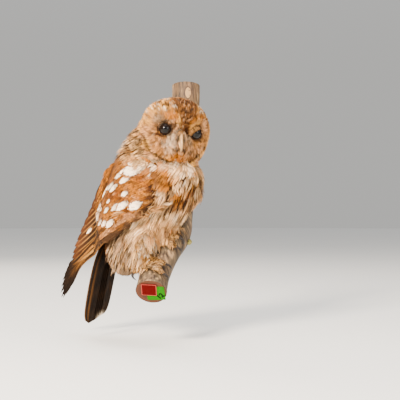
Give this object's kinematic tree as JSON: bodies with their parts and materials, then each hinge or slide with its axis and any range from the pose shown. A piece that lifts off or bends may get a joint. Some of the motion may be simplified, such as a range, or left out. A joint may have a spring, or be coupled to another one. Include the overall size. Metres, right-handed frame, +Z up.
{
  "type": "mounted tawny owl on a branch",
  "caption": "Life-size mounted tawny owl, wings folded and head turned, gripping a sawn length of bent branch that hangs flat against a wall.",
  "frame": {"origin": "on the planed back of the branch, where it lies on the wall near its top", "axes": "+Z up; +Y out of the branch's planed back, into the wall; +X to the right of someone who faces the wall"},
  "size_m": [0.2376, 0.2142, 0.3883],
  "materials": {
    "plumage_head": "soft barred face and crown feathers",
    "plumage_body": "long loose cream feathers with dark streaks",
    "wing_coverts": "small rufous feathers with white spots",
    "flight_feathers": "firm barred quills",
    "tail_feathers": "firm dark brown quills",
    "feathered_feet": "short dense feathering",
    "glass_eye": "polished, near black brown",
    "bill_horn": "ivory yellow horn",
    "claw_horn": "dark horn",
    "bark": "smooth pinkish bark, sawn and planed cuts",
    "bud_scale": "dull",
    "label_red": "coated sticker",
    "label_green": "coated sticker"
  },
  "bodies": {
    "root": {"head": "plumage_head", "neck": "plumage_body", "trunk": "plumage_body", "tail": "tail_feathers", "eye_right": "glass_eye", "eye_left": "glass_eye", "bill": "bill_horn", "branch": "bark", "branch_bud": "bud_scale", "label_red": "label_red", "label_green": "label_green", "wing_coverts_right": "wing_coverts", "wing_secondaries_right": "flight_feathers", "wing_primaries_right": "flight_feathers", "leg_right": "feathered_feet", "foot_right": "feathered_feet", "claw_right_1": "claw_horn", "claw_right_2": "claw_horn", "claw_right_3": "claw_horn", "claw_right_4": "claw_horn", "wing_coverts_left": "wing_coverts", "wing_secondaries_left": "flight_feathers", "wing_primaries_left": "flight_feathers", "leg_left": "feathered_feet", "foot_left": "feathered_feet", "claw_left_1": "claw_horn", "claw_left_2": "claw_horn", "claw_left_3": "claw_horn", "claw_left_4": "claw_horn"}
  },
  "joints": []
}
